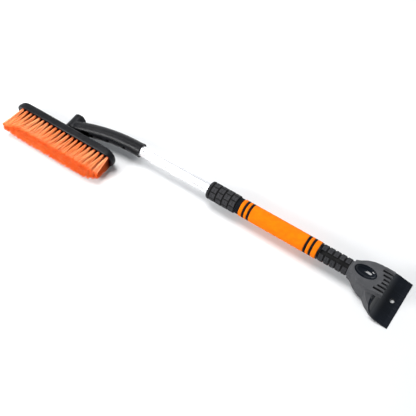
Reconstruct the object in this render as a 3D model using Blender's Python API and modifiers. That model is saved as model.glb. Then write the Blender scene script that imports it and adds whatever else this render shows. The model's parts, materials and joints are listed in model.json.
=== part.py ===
"""Telescopic snow brush with a swivelling brush head and an ice scraper.

The handle lies along X. The brush is at the low-X end with its bristles towards
-Y, and the scraper is at the high-X end. Everything is drawn in handle
coordinates, whose origin is the mouth of the arm on the handle's axis, and one
empty carries the whole object to its place above the ground.
"""
import math

import bmesh
import bpy
from mathutils import Matrix, Vector

# ---- place of the handle's coordinates in the part's frame -----------------
FRAME_X = -0.1490
FRAME_Y = 0.0265
AXIS_HEIGHT = 0.0359

GAP = 0.0003
ROUND = 32
SMALL_ROUND = 20
TINY_ROUND = 12
MERGE = 0.00001
FAR = 0.2
AXIS_TURNS = {
    "X": Matrix.Rotation(math.radians(90), 4, "Y"),
    "Y": Matrix.Rotation(math.radians(-90), 4, "X"),
    "Z": Matrix.Identity(4),
}

# ---- tubes -----------------------------------------------------------------
INNER_TUBE_R = 0.01125
INNER_TUBE_BORE_R = 0.00975
INNER_TUBE_START = -0.026
INNER_TUBE_END = 0.284
GROOVE_ANGLE = math.radians(25)
GROOVE_START = 0.0095
GROOVE_DEPTH = 0.0006
GROOVE_WIDTH = 0.0018
OUTER_TUBE_R = 0.0130
OUTER_TUBE_BORE_R = 0.01175
OUTER_TUBE_START = 0.186
OUTER_TUBE_END = 0.478
PLUG_END = 0.292
PLUG_R = 0.0114
RIVET_X = 0.0065
RIVET_R = 0.0016
PIN_X = 0.468
PIN_R = 0.0020

# ---- twist lock ------------------------------------------------------------
COLLAR_START = 0.168
COLLAR_END = 0.235
COLLAR_R = 0.0188
COLLAR_RIB = 0.0009
COLLAR_RIBS = 5
COLLAR_NOSE = 0.0100
COLLAR_MOUTH_R = 0.01205
COLLET_START = 0.1715
COLLET_CONE = 0.0090
COLLET_NOSE_R = 0.0128
COLLET_R = 0.0148
COLLET_PLAY = 0.0004
SLIT_HALF_WIDTH = 0.0007
BUSH_R = 0.0156
BUSH_END = 0.2300

# ---- grip ------------------------------------------------------------------
STOP_RING_END = 0.2440
STOP_RING_R = 0.0166
FOAM_START = 0.2443
FOAM_END = 0.4180
FOAM_R = 0.01775
BAND_CENTRES = (0.2545, 0.2655, 0.3935, 0.4050)
BAND_WIDTH = 0.0047
BAND_DEPTH = 0.0015
END_RING_R = 0.0172
NECK_START = 0.4208
NECK_END = 0.4835
NECK_R = 0.0170
NECK_RIBS = 5
NECK_RIB_DEPTH = 0.0014
CHANNEL_ANGLE = math.radians(26)
CHANNEL_WIDTH = 0.0085
CHANNEL_FLOOR_R = 0.0139

# ---- scraper ---------------------------------------------------------------
HEAD_START = 0.4838
HEAD_NECK_R = 0.0158
HEAD_NECK_END = 0.5060
SPIGOT_R = 0.01135
SPIGOT_START = 0.446
FAN_TOP = 0.0180
FAN_HALF_WIDTHS = ((0.4880, 0.0130), (0.4960, 0.0165), (0.5070, 0.0238),
                   (0.5200, 0.0285), (0.5340, 0.0303), (0.5620, 0.0290))
BASE_HALF_WIDTHS = ((0.4860, 0.0130), (0.4980, 0.0165), (0.5120, 0.0235),
                    (0.5290, 0.0290), (0.5400, 0.0385), (0.5550, 0.0480),
                    (0.5730, 0.0545))
SHOULDER = ((-0.0400, 0.0545), (-0.0280, 0.0545), (-0.0190, 0.0510),
            (-0.0080, 0.0425), (0.0000, 0.0340), (0.0082, 0.0300))
HEAD_BOTTOM = -0.0338
UNDER_NECK_Z = -0.0162
WALL = 0.0032
CAVITY_HALF_WIDTHS = ((0.5060, 0.0160), (0.5290, 0.0258), (0.5400, 0.0350), (0.5600, 0.0440))
CAVITY_TOP = 0.0020
CAVITY_FLOOR = -0.0500
CLAW_FLOOR = 0.0084
CLAW_TIP = 0.5620
CLAW_COUNT = 7
CLAW_PITCH = 0.0082
END_BAR_START = 0.5410
END_BAR_INNER = 0.0245
END_BAR_OUTER = 0.0285
END_BAR_TOP = 0.0203
SLOT_WIDTH = 0.0042
SLOT_SHORT = 0.0125
SLOT_STEP = 0.0045
DISH_CENTRE = (0.5150, 0.0, FAN_TOP + 0.0006)
DISH_RADII = (0.0230, 0.0135, 0.0092)
DISH_SKIN = 0.0016
BLADE_HALF_WIDTH = 0.0545
BLADE_THICKNESS = 0.0028
BLADE_EDGE = 0.5970
BLADE_EDGE_Z = -0.0350
BLADE_EDGE_THICKNESS = 0.0009
BLADE_BEVEL = 0.0090
BLADE_RUN = 0.0210
BLADE_SLOPE = math.radians(14)
BLADE_CURVE_R = 0.0380
BLADE_TOP_ANGLE = math.radians(10)
HOLE_X = 0.5795
HOLE_R = 0.0045
BLADE_SCREW_YS = (-0.022, 0.0, 0.022)
BLADE_SCREW_Z = -0.0060
SCREW_FACE_X = 0.5415
BLADE_BOSS_R = 0.0035

# ---- arm -------------------------------------------------------------------
HUB_X = -0.1615
HUB_Z = -0.0080
ARM_R = 0.0146
ARM_WALL = 0.0024
ARM_MOUTH_R = 0.0156
MOUTH_FLARE = 0.006
ARM_STRAIGHT = 0.010
ARM_SWING_Y = -0.0275
SOCKET_START = -0.030
ARM_SEAM_X = -0.1405
ARM_PARTING = 0.0035
NOSE_END_X = -0.1500
NOSE_R = 0.0150
TENON = 0.0050
ARM_SCREW_XS = (-0.036, -0.075, -0.112)
# Slots in the front shell: high end, length, height above the centre line.
ARM_SLOTS = ((-0.049, 0.018, 0.0062), (-0.084, 0.004, 0.0055))
SLOT_HALF_HEIGHT = 0.0013
WINDOW_START = -0.1180
WINDOW_LENGTH = 0.0170
WINDOW_LOW = -0.0060
WINDOW_HIGH = 0.0080
POST_R = 0.0034
BOSS_R = 0.0054
HEAD_SEAT_R = 0.0042
SCREW_HEAD_R = 0.0037
THREAD_HOLE_R = 0.0016
THREAD_R = 0.0013

# ---- swivel and brush ------------------------------------------------------
BARREL_R = 0.0143
BARREL_FRONT = -0.0360
BARREL_BACK = 0.0
BARREL_BORE_R = 0.0085
RECESS_R = 0.0112
WELL_START = -0.0140
WELL_END = -0.0032
WELL_R = 0.0102
SPINDLE_R = 0.0081
SPINDLE_END = -0.0150
SPINDLE_ROOT = 0.0060
ROOT_R = 0.0075
FLANGE_R = 0.0125
LOCK_RING_R = 0.0108
BUTTON_R = 0.0076
BUTTON_FLANGE_R = 0.0098
BUTTON_PROUD = 0.0034
THUMB_GROOVE_HALF_WIDTH = 0.0024
THUMB_GROOVE_DEPTH = 0.0022
BLOCK_BACK = -0.0390
BLOCK_FRONT = -0.0560
BLOCK_HALF_LENGTH = 0.1280
BLOCK_HALF_HEIGHT = 0.0210
BLOCK_CENTRE_X = -0.1620
BLOCK_CHAMFER = 0.0018
BLOCK_END_ROUND = 0.0120
BLOCK_TOP_ROUND = 0.0045
TUFT_COUNT = 21
TUFT_CENTRE_X = -0.1575
TUFT_HALF_LENGTH = 0.1235
TUFT_PITCH = 0.01125
ROW_COUNT = 5
ROW_PITCH = 0.0072
ROW_THICKNESS = 0.0050
BRISTLE_TIP_Y = -0.1075
BRISTLE_SPREAD_Z = 1.66
ROW_SWELL = 0.8
ROOT_DEPTH = 0.0022
BRISTLE_SPREAD_X = 0.0270
TUFT_ROOT_WIDTH = 0.0056
TUFT_TIP_SLIT = 0.0005

COLOURS = {
    "aluminium": ((0.80, 0.80, 0.82), 0.28, 1.0),
    "steel": ((0.45, 0.45, 0.47), 0.35, 1.0),
    "black_plastic": ((0.020, 0.021, 0.023), 0.50, 0.0),
    "black_rubber": ((0.016, 0.016, 0.017), 0.72, 0.0),
    "grey_plastic": ((0.085, 0.086, 0.090), 0.55, 0.0),
    "gloss_black": ((0.008, 0.010, 0.014), 0.12, 0.0),
    "orange_foam": ((0.92, 0.25, 0.012), 0.85, 0.0),
    "orange_bristle": ((0.95, 0.20, 0.03), 0.45, 0.0),
}


# ---- scene and materials ---------------------------------------------------
def clear_scene():
    """Remove whatever objects the file opened with."""
    for item in list(bpy.data.objects):
        bpy.data.objects.remove(item, do_unlink=True)


def new_collection(name):
    """Make a collection and link it to the scene."""
    collection = bpy.data.collections.new(name)
    bpy.context.scene.collection.children.link(collection)
    return collection


def make_material(name):
    """Make a Principled material from the colour list."""
    colour, roughness, metallic = COLOURS[name]
    material = bpy.data.materials.new(name)
    material.use_nodes = True
    shader = material.node_tree.nodes["Principled BSDF"]
    shader.inputs["Base Color"].default_value = (*colour, 1.0)
    shader.inputs["Roughness"].default_value = roughness
    shader.inputs["Metallic"].default_value = metallic
    return material


clear_scene()
PARTS = new_collection("snow_brush_scraper")
CUTTERS = new_collection("cutters")
MATERIALS = {name: make_material(name) for name in COLOURS}


def joint_empty(name, parent, position):
    """Make an empty on a joint's axis, at a position in handle coordinates."""
    empty = bpy.data.objects.new(name, None)
    empty.empty_display_size = 0.01
    PARTS.objects.link(empty)
    empty["place"] = list(position)
    if parent:
        empty.parent = parent
        empty.location = Vector(position) - Vector(parent["place"])
    else:
        empty.location = (FRAME_X, FRAME_Y, AXIS_HEIGHT)
    return empty


HANDLE = joint_empty("handle_frame", None, (0, 0, 0))
COLLAR = joint_empty("collar_axis", HANDLE, ((COLLAR_START + COLLAR_END) / 2, 0, 0))
EXTENSION = joint_empty("extension_slide", HANDLE, (INNER_TUBE_START, 0, 0))
BRUSH = joint_empty("brush_swivel", EXTENSION, (HUB_X, BLOCK_BACK, HUB_Z))
BUTTON = joint_empty("button_slide", EXTENSION, (HUB_X, BARREL_BACK, HUB_Z))


# ---- meshes ----------------------------------------------------------------
def mesh_from_bmesh(work, name):
    """Turn a bmesh into a mesh and free it."""
    mesh = bpy.data.meshes.new(name)
    work.to_mesh(mesh)
    work.free()
    return mesh


def evaluated_mesh(source):
    """Return the welded mesh of an object with its modifiers, and remove the object."""
    bpy.context.view_layer.update()
    graph = bpy.context.evaluated_depsgraph_get()
    mesh = bpy.data.meshes.new_from_object(source.evaluated_get(graph))
    bpy.data.objects.remove(source, do_unlink=True)
    work = bmesh.new()
    work.from_mesh(mesh)
    bmesh.ops.remove_doubles(work, verts=work.verts, dist=MERGE)
    work.to_mesh(mesh)
    work.free()
    return mesh


def loose_object(data):
    """Link a short-lived object for a mesh or a curve."""
    item = bpy.data.objects.new("work", data)
    bpy.context.scene.collection.objects.link(item)
    return item


def turned(outer, inner=None, segments=ROUND, axis="X"):
    """Turn a profile about an axis.

    outer and inner are lists of (position along the axis, radius) in rising
    order. Without inner the piece is solid to its axis.
    """
    loop = [(radius, place) for place, radius in reversed(outer)]
    if inner:
        loop += [(radius, place) for place, radius in inner]
    else:
        loop = [(0.0, outer[-1][0])] + loop + [(0.0, outer[0][0])]
    work = bmesh.new()
    verts = [work.verts.new((radius, 0, place)) for radius, place in loop]
    for first, second in zip(verts, verts[1:]):
        work.edges.new((first, second))
    if inner:
        work.edges.new((verts[-1], verts[0]))
    item = loose_object(mesh_from_bmesh(work, "profile"))
    screw = item.modifiers.new("turn", "SCREW")
    screw.steps = segments
    screw.render_steps = segments
    screw.use_merge_vertices = True
    screw.merge_threshold = MERGE
    mesh = evaluated_mesh(item)
    flatten_caps(mesh)
    mesh.transform(AXIS_TURNS[axis])
    return mesh


def flatten_caps(mesh):
    """Give a turned piece one flat face at each end, in place of a fan round its axis."""
    work = bmesh.new()
    work.from_mesh(mesh)
    middle = [vert for vert in work.verts if vert.co.xy.length < MERGE]
    bmesh.ops.dissolve_verts(work, verts=middle)
    work.to_mesh(mesh)
    work.free()


def rod(start, end, radius, chamfer=0.0, **options):
    """Turn a plain rod, with chamfered ends where asked."""
    if chamfer:
        outline = [(start, radius - chamfer), (start + chamfer, radius),
                   (end - chamfer, radius), (end, radius - chamfer)]
    else:
        outline = [(start, radius), (end, radius)]
    return turned(outline, **options)


def ring(start, end, bore, radius, chamfer=0.0, **options):
    """Turn a plain ring, with its outer corners chamfered where asked."""
    outer = [(start, radius), (end, radius)]
    if chamfer:
        outer = [(start, radius - chamfer), (start + chamfer, radius),
                 (end - chamfer, radius), (end, radius - chamfer)]
    return turned(outer, [(start, bore), (end, bore)], **options)


def moved(mesh, x=0.0, y=0.0, z=0.0):
    """Shift a mesh and return it."""
    mesh.transform(Matrix.Translation((x, y, z)))
    return mesh


def prism(outline, low, high, plane="XY"):
    """Extrude a closed outline between two heights, square to its plane.

    Plane XY rises along Z, XZ along Y and YZ along X.
    """
    curve = bpy.data.curves.new("outline", "CURVE")
    curve.dimensions = "2D"
    curve.fill_mode = "BOTH"
    curve.extrude = (high - low) / 2
    spline = curve.splines.new("POLY")
    spline.points.add(len(outline) - 1)
    for point, (u, v) in zip(spline.points, outline):
        point.co = (u, v, 0, 1)
    spline.use_cyclic_u = True
    mesh = evaluated_mesh(loose_object(curve))
    middle = (high + low) / 2
    if plane == "XY":
        turn = Matrix.Translation((0, 0, middle))
    elif plane == "XZ":
        turn = Matrix.Translation((0, middle, 0)) @ Matrix.Rotation(math.radians(90), 4, "X")
    else:
        turn = Matrix.Translation((middle, 0, 0)) @ Matrix(
            ((0, 0, 1, 0), (1, 0, 0, 0), (0, 1, 0, 0), (0, 0, 0, 1)))
    mesh.transform(turn)
    return mesh


def block(low, high):
    """Make a box between two corners."""
    work = bmesh.new()
    bmesh.ops.create_cube(work, size=1.0)
    size = [b - a for a, b in zip(low, high)]
    middle = [(a + b) / 2 for a, b in zip(low, high)]
    place = Matrix.Translation(middle) @ Matrix.Diagonal((*size, 1.0))
    bmesh.ops.transform(work, matrix=place, verts=work.verts)
    return mesh_from_bmesh(work, "block")


def ellipsoid(centre, radii):
    """Make an ellipsoid from a UV sphere."""
    work = bmesh.new()
    bmesh.ops.create_uvsphere(work, u_segments=26, v_segments=13, radius=1.0)
    place = Matrix.Translation(centre) @ Matrix.Diagonal((*radii, 1.0))
    bmesh.ops.transform(work, matrix=place, verts=work.verts)
    return mesh_from_bmesh(work, "ellipsoid")


def sweep(points, radii):
    """Sweep a round section along a path, with a radius at each point."""
    curve = bpy.data.curves.new("sweep", "CURVE")
    curve.dimensions = "3D"
    curve.bevel_depth = 1.0
    curve.bevel_resolution = 10
    curve.use_fill_caps = True
    curve.twist_mode = "MINIMUM"
    spline = curve.splines.new("POLY")
    spline.points.add(len(points) - 1)
    for point, place, radius in zip(spline.points, points, radii):
        point.co = (*place, 1)
        point.radius = radius
    return evaluated_mesh(loose_object(curve))


# ---- pieces and cuts -------------------------------------------------------
def piece(name, mesh, material, body=HANDLE):
    """Make a named piece, with its origin on its body's joint axis."""
    mesh.transform(Matrix.Translation(-Vector(body["place"])))
    mesh.name = name
    mesh.shade_smooth()
    mesh.set_sharp_from_angle(angle=math.radians(35))
    mesh.materials.clear()
    mesh.materials.append(MATERIALS[material])
    item = bpy.data.objects.new(name, mesh)
    item.parent = body
    PARTS.objects.link(item)
    return item


def cutter(mesh, body=HANDLE):
    """Make a hidden tool for a Boolean."""
    mesh.transform(Matrix.Translation(-Vector(body["place"])))
    item = bpy.data.objects.new("cutter", mesh)
    item.parent = body
    item.display_type = "WIRE"
    item.hide_render = True
    CUTTERS.objects.link(item)
    return item


def combine(target, mesh, operation="DIFFERENCE", body=HANDLE, solver="EXACT"):
    """Cut a piece or a tool with a mesh, or join or keep their overlap."""
    tool = mesh if isinstance(mesh, bpy.types.Object) else cutter(mesh, body)
    change = target.modifiers.new(operation.lower(), "BOOLEAN")
    change.operation = operation
    change.solver = solver
    change.object = tool
    return target


def bevel(target, width, segments=2, angle=40):
    """Round a piece's sharp edges."""
    change = target.modifiers.new("bevel", "BEVEL")
    change.width = width
    change.segments = segments
    change.limit_method = "ANGLE"
    change.angle_limit = math.radians(angle)
    return target


def arc(centre, radius, start, end, steps):
    """Points on a circle's arc, ends included; angles in radians."""
    points = []
    for step in range(steps + 1):
        angle = start + (end - start) * step / steps
        x = centre[0] + radius * math.cos(angle)
        y = centre[1] + radius * math.sin(angle)
        points.append((x, y))
    return points


def both_sides(half_widths):
    """Make a symmetric outline from (position, half width) pairs."""
    left = [(place, -width) for place, width in reversed(half_widths)]
    return list(half_widths) + left


# ---- handle ----------------------------------------------------------------
def pin_hole():
    """A tool for the cross pin's hole."""
    return moved(rod(-0.02, 0.02, PIN_R + GAP, axis="Y", segments=TINY_ROUND), x=PIN_X)


def build_outer_tube():
    """Outer tube, from the twist lock to the scraper's spigot."""
    wall = ring(OUTER_TUBE_START, OUTER_TUBE_END, OUTER_TUBE_BORE_R, OUTER_TUBE_R)
    tube = piece("outer_tube", wall, "aluminium")
    combine(tube, pin_hole())


def build_lock_bush():
    """Bush round the outer tube, which the collar's thread turns on."""
    start = OUTER_TUBE_START + 0.0005
    bore = OUTER_TUBE_R + GAP
    outer = [(start, BUSH_R - 0.001), (start + 0.001, BUSH_R), (BUSH_END, BUSH_R)]
    piece("lock_bush", turned(outer, [(start, bore), (BUSH_END, bore)]), "black_plastic")


def build_collet():
    """Cone-nosed collet with four slits, in front of the outer tube."""
    bore = INNER_TUBE_R + COLLET_PLAY
    end = OUTER_TUBE_START - GAP
    cone_end = COLLET_START + COLLET_CONE
    outer = [(COLLET_START, COLLET_NOSE_R), (cone_end, COLLET_R), (end, COLLET_R)]
    collet = piece("lock_collet", turned(outer, [(COLLET_START, bore), (end, bore)]), "black_plastic")
    for quarter in range(4):
        slit = block((COLLET_START - 0.001, 0.0, -SLIT_HALF_WIDTH),
                     (cone_end + 0.0005, 0.02, SLIT_HALF_WIDTH))
        slit.transform(Matrix.Rotation(math.radians(45 + 90 * quarter), 4, "X"))
        combine(collet, slit)


def build_collar():
    """Ribbed collar with a rounded nose and a cone inside that closes the collet."""
    rib_pitch = (COLLAR_END - COLLAR_START - COLLAR_NOSE) / COLLAR_RIBS
    outer = [(COLLAR_START, COLLAR_R - 0.0038), (COLLAR_START + 0.0012, COLLAR_R - 0.0016),
             (COLLAR_START + 0.0040, COLLAR_R)]
    for index in range(COLLAR_RIBS):
        groove = COLLAR_START + COLLAR_NOSE + rib_pitch * index
        outer += [(groove - 0.0008, COLLAR_R), (groove, COLLAR_R - COLLAR_RIB), (groove + 0.0008, COLLAR_R)]
    outer += [(COLLAR_END - 0.0015, COLLAR_R), (COLLAR_END, COLLAR_R - 0.0015)]
    cone_start = COLLET_START - 0.0002
    cone_end = COLLET_START + COLLET_CONE
    inner = [(COLLAR_START, COLLAR_MOUTH_R), (cone_start - GAP, COLLAR_MOUTH_R),
             (cone_start, COLLET_NOSE_R + 0.0005), (cone_end, COLLET_R + 0.0005),
             (cone_end + 0.0055, BUSH_R + 0.0005), (COLLAR_END, BUSH_R + 0.0005)]
    piece("lock_collar", turned(outer, inner), "black_rubber", COLLAR)


def build_twist_lock():
    """Threaded bush on the outer tube, slit collet and the collar that closes it."""
    build_lock_bush()
    build_collet()
    build_collar()
    stop = ring(COLLAR_END + GAP, STOP_RING_END, OUTER_TUBE_R + GAP, STOP_RING_R, 0.0008)
    piece("collar_stop_ring", stop, "black_plastic")


def build_grip():
    """Foam sleeve with four bands in grooves, and its end ring."""
    bore = OUTER_TUBE_R + GAP
    outer = [(FOAM_START, FOAM_R - 0.0010), (FOAM_START + 0.0012, FOAM_R)]
    for centre in BAND_CENTRES:
        low = centre - BAND_WIDTH / 2 - GAP
        high = centre + BAND_WIDTH / 2 + GAP
        outer += [(low, FOAM_R), (low, FOAM_R - BAND_DEPTH - GAP),
                  (high, FOAM_R - BAND_DEPTH - GAP), (high, FOAM_R)]
    outer += [(FOAM_END - 0.0012, FOAM_R), (FOAM_END, FOAM_R - 0.0010)]
    piece("foam_grip", turned(outer, [(FOAM_START, bore), (FOAM_END, bore)]), "orange_foam")
    for index, centre in enumerate(BAND_CENTRES, 1):
        low = centre - BAND_WIDTH / 2
        band = ring(low, low + BAND_WIDTH, FOAM_R - BAND_DEPTH, FOAM_R - 0.0002)
        piece(f"grip_band_{index}", band, "black_rubber")
    end_ring = ring(FOAM_END + GAP, NECK_START - GAP, bore, END_RING_R, 0.0005)
    piece("grip_end_ring", end_ring, "black_plastic")


def build_neck():
    """Ribbed rubber neck with a channel along its top."""
    pitch = (NECK_END - NECK_START) / NECK_RIBS
    low_r = NECK_R - NECK_RIB_DEPTH
    outer = []
    for index in range(NECK_RIBS):
        start = NECK_START + pitch * index
        outer += [(start, low_r), (start + 0.0022, low_r), (start + 0.0034, NECK_R),
                  (start + pitch - 0.0012, NECK_R)]
    outer.append((NECK_END, low_r))
    bore = OUTER_TUBE_R + GAP
    neck = piece("neck_grip", turned(outer, [(NECK_START, bore), (NECK_END, bore)]), "black_rubber")
    channel = block((NECK_START + 0.0030, -CHANNEL_WIDTH / 2, CHANNEL_FLOOR_R),
                    (NECK_END + 0.001, CHANNEL_WIDTH / 2, 0.02))
    channel.transform(Matrix.Rotation(CHANNEL_ANGLE, 4, "X"))
    combine(neck, channel)


def build_head_pin():
    """Cross pin that holds the scraper's spigot in the outer tube."""
    reach = OUTER_TUBE_R - 0.0002
    pin = rod(-reach, reach, PIN_R, 0.0003, axis="Y", segments=TINY_ROUND)
    piece("head_pin", moved(pin, x=PIN_X), "steel")


# ---- scraper ---------------------------------------------------------------
def blade_surface(offset=0.0):
    """The blade's upper surface in the XZ plane, top to edge, moved back by offset."""
    flat_x = BLADE_EDGE - BLADE_BEVEL
    foot_angle = math.radians(90) - BLADE_SLOPE
    foot = (BLADE_EDGE - BLADE_RUN, BLADE_EDGE_Z + BLADE_RUN * math.tan(BLADE_SLOPE))
    centre = (foot[0] + BLADE_CURVE_R * math.cos(foot_angle),
              foot[1] + BLADE_CURVE_R * math.sin(foot_angle))
    start = math.radians(180) + BLADE_TOP_ANGLE
    end = math.radians(180) + foot_angle
    points = arc(centre, BLADE_CURVE_R + offset, start, end, 10)
    top = (points[0][0], CLAW_FLOOR - GAP)
    normal = (-math.sin(BLADE_SLOPE) * offset, -math.cos(BLADE_SLOPE) * offset)
    front = (flat_x + normal[0], BLADE_EDGE_Z + BLADE_BEVEL * math.tan(BLADE_SLOPE) + normal[1])
    return [top] + points + [front]


def shoulder_prism():
    """The rounded front view of the blade, as a tool along X."""
    right = [(width, height) for height, width in SHOULDER]
    left = [(-width, height) for width, height in reversed(right)]
    return prism(right + left, HEAD_START - 0.03, BLADE_EDGE + 0.05, "YZ")


def screw_seat(y, low, high, radius, segments=16):
    """A rod along X on one of the blade's screws."""
    return moved(rod(low, high, radius, segments=segments), y=y, z=BLADE_SCREW_Z)


def build_blade():
    """Glossy concave blade with a hole, and the bosses its screws bite in."""
    face = blade_surface()
    edge = [(BLADE_EDGE, BLADE_EDGE_Z), (BLADE_EDGE, BLADE_EDGE_Z - BLADE_EDGE_THICKNESS)]
    back = list(reversed(blade_surface(BLADE_THICKNESS)))
    section = prism(face + edge + back, -BLADE_HALF_WIDTH, BLADE_HALF_WIDTH, "XZ")
    blade = piece("scraper_blade", section, "gloss_black")
    combine(blade, shoulder_prism(), "INTERSECT")
    combine(blade, moved(rod(-0.06, 0.02, HOLE_R, axis="Z", segments=SMALL_ROUND), x=HOLE_X))
    boss_end = SCREW_FACE_X + 0.0050
    for y in BLADE_SCREW_YS:
        combine(blade, screw_seat(y, SCREW_FACE_X + GAP, boss_end, BLADE_BOSS_R), "UNION")
        combine(blade, screw_seat(y, SCREW_FACE_X - 0.001, boss_end - 0.0002, THREAD_HOLE_R, TINY_ROUND))


def head_shell():
    """The head's outside before its cuts: neck, fan and flared base."""
    fan = prism(both_sides(FAN_HALF_WIDTHS), HEAD_BOTTOM, FAN_TOP)
    head = piece("scraper_head", fan, "grey_plastic")
    bevel(head, 0.0020)
    for side in (-1, 1):
        edges = sorted((side * END_BAR_INNER, side * END_BAR_OUTER))
        bar = block((END_BAR_START, edges[0], CLAW_FLOOR + 0.004), (CLAW_TIP, edges[1], END_BAR_TOP))
        combine(head, bar, "UNION")
    base = cutter(prism(both_sides(BASE_HALF_WIDTHS), HEAD_BOTTOM, CLAW_FLOOR - 0.0005))
    combine(base, shoulder_prism(), "INTERSECT")
    combine(head, base, "UNION")
    combine(head, rod(HEAD_START, HEAD_NECK_END, HEAD_NECK_R), "UNION")
    spigot = rod(SPIGOT_START, HEAD_START + 0.002, SPIGOT_R, 0.0008, segments=SMALL_ROUND)
    combine(head, spigot, "UNION")
    return head


def front_of_blade():
    """Everything in front of the blade's back, below the claws."""
    back = blade_surface(BLADE_THICKNESS + GAP)
    back[0] = (back[0][0], CLAW_FLOOR)
    beyond = BLADE_EDGE + 0.04
    return back + [(beyond, BLADE_EDGE_Z - 0.01), (beyond, CLAW_FLOOR)]


def cut_claws(head):
    """Slots between the claws; the outer slots are longer."""
    middle = (CLAW_COUNT - 2) / 2
    for index in range(CLAW_COUNT - 1):
        from_middle = abs(index - middle)
        length = SLOT_SHORT + SLOT_STEP * max(0.0, from_middle - 0.5)
        y = (index - middle) * CLAW_PITCH
        slot = block((CLAW_TIP - length, y - SLOT_WIDTH / 2, CLAW_FLOOR - 0.0044),
                     (CLAW_TIP + 0.01, y + SLOT_WIDTH / 2, FAN_TOP + 0.01))
        combine(head, slot)


def hollow_head(head):
    """Hollow the head from below, leaving a wall all round and behind the blade."""
    cavity = cutter(prism(both_sides(CAVITY_HALF_WIDTHS), CAVITY_FLOOR, CAVITY_TOP))
    behind = blade_surface(BLADE_THICKNESS + GAP + WALL)[1:9]
    low_x = CAVITY_HALF_WIDTHS[0][0] - 0.016
    outline = [(low_x, CAVITY_TOP), (low_x, CAVITY_FLOOR), (behind[-1][0], CAVITY_FLOOR)]
    outline += list(reversed(behind)) + [(behind[0][0], CAVITY_TOP)]
    combine(cavity, prism(outline, -0.06, 0.06, "XZ"), "INTERSECT")
    right = [(0.0280, CAVITY_TOP), (0.0465, -0.0200), (0.0500, CAVITY_FLOOR)]
    left = [(-y, z) for y, z in reversed(right)]
    combine(cavity, prism(right + left, HEAD_START, BLADE_EDGE, "YZ"), "INTERSECT")
    combine(head, cavity)


def build_scraper_head():
    """Fan-shaped head with claws, thumb dish and hollow underside."""
    head = head_shell()
    underside = [(0.4700, UNDER_NECK_Z), (0.4920, UNDER_NECK_Z), (0.5350, HEAD_BOTTOM),
                 (0.5350, CAVITY_FLOOR), (0.4700, CAVITY_FLOOR)]
    combine(head, prism(underside, -0.06, 0.06, "XZ"))
    combine(head, prism(front_of_blade(), -0.06, 0.06, "XZ"))
    cut_claws(head)
    hollow_head(head)
    combine(head, ellipsoid(DISH_CENTRE, DISH_RADII))
    combine(head, pin_hole(), solver="MANIFOLD")
    for y in BLADE_SCREW_YS:
        seat = screw_seat(y, SCREW_FACE_X - 0.004, SCREW_FACE_X + 0.0085, BLADE_BOSS_R + GAP)
        combine(head, seat, solver="MANIFOLD")


def build_thumb_rest():
    """Glossy dish liner under the thumb."""
    radii = [radius - GAP for radius in DISH_RADII]
    rest = piece("thumb_rest", ellipsoid(DISH_CENTRE, radii), "gloss_black")
    inner = [radius - DISH_SKIN for radius in radii]
    combine(rest, ellipsoid(DISH_CENTRE, inner))
    combine(rest, block((0.48, -0.03, FAN_TOP - 0.0004), (0.55, 0.03, 0.05)))


def build_blade_screws():
    """Three washer-head screws that hold the blade from behind."""
    head_start = SCREW_FACE_X - 0.0026
    for index, y in enumerate(BLADE_SCREW_YS, 1):
        profile = [(head_start, 0.0030), (head_start + 0.0006, 0.0034), (SCREW_FACE_X, 0.0034),
                   (SCREW_FACE_X, THREAD_R), (SCREW_FACE_X + 0.0044, THREAD_R)]
        screw = moved(turned(profile, segments=TINY_ROUND), y=y, z=BLADE_SCREW_Z)
        piece(f"blade_screw_{index}", screw, "steel")


# ---- extension -------------------------------------------------------------
def groove(angle):
    """A tool that cuts one groove along the inner tube."""
    tool = block((GROOVE_START, -GROOVE_WIDTH / 2, INNER_TUBE_R - GROOVE_DEPTH),
                 (INNER_TUBE_END - 0.020, GROOVE_WIDTH / 2, INNER_TUBE_R + 0.002))
    tool.transform(Matrix.Rotation(angle, 4, "X"))
    return tool


def build_inner_tube():
    """Sliding tube with two grooves, its guide plug and its rivet."""
    wall = ring(INNER_TUBE_START, INNER_TUBE_END, INNER_TUBE_BORE_R, INNER_TUBE_R)
    tube = piece("inner_tube", wall, "aluminium", EXTENSION)
    combine(tube, groove(GROOVE_ANGLE), body=EXTENSION)
    combine(tube, groove(GROOVE_ANGLE + math.pi), body=EXTENSION)
    shank_r = INNER_TUBE_BORE_R - GAP
    rim = INNER_TUBE_END + GAP
    plug = turned([(INNER_TUBE_END - 0.014, shank_r), (rim, shank_r), (rim, PLUG_R),
                   (PLUG_END - 0.001, PLUG_R), (PLUG_END, PLUG_R - 0.0009)])
    piece("guide_plug", plug, "black_plastic", EXTENSION)
    foot = INNER_TUBE_R + GAP
    rivet = turned([(foot, RIVET_R), (foot + 0.0005, RIVET_R), (foot + 0.0008, RIVET_R - 0.0006)],
                   segments=TINY_ROUND, axis="Z")
    rivet.transform(Matrix.Rotation(GROOVE_ANGLE, 4, "X"))
    piece("tube_rivet", moved(rivet, x=RIVET_X), "steel", EXTENSION)


def arm_centre(x):
    """The arm's centre line: straight at the tube, then swung to the hub."""
    swing = max(0.0, -x - ARM_STRAIGHT) / (-HUB_X - ARM_STRAIGHT)
    return (x, ARM_SWING_Y * swing ** 2, HUB_Z * swing ** 2)


def arm_path(start, end, steps):
    """Evenly spaced points on the arm's centre line."""
    return [arm_centre(start + (end - start) * step / steps) for step in range(steps + 1)]


def arm_tube(radius_change, start, end, steps=13):
    """The arm's round outside, or its inside when radius_change is negative."""
    points = arm_path(start, end, steps)
    radii = []
    for place in points:
        flare = max(0.0, 1.0 + place[0] / MOUTH_FLARE)
        radii.append(ARM_R + radius_change + (ARM_MOUTH_R - ARM_R) * min(1.0, flare))
    return sweep(points, radii)


def arm_side(offset, side):
    """A tool that holds the back or the front half of the arm."""
    high, low = 0.02, -0.18
    line = [(x, y - ARM_PARTING + offset) for x, y, _ in arm_path(high, low, 12)]
    edge = FAR / 2 * side
    return prism(line + [(low, edge), (high, edge)], -0.05, 0.05)


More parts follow.
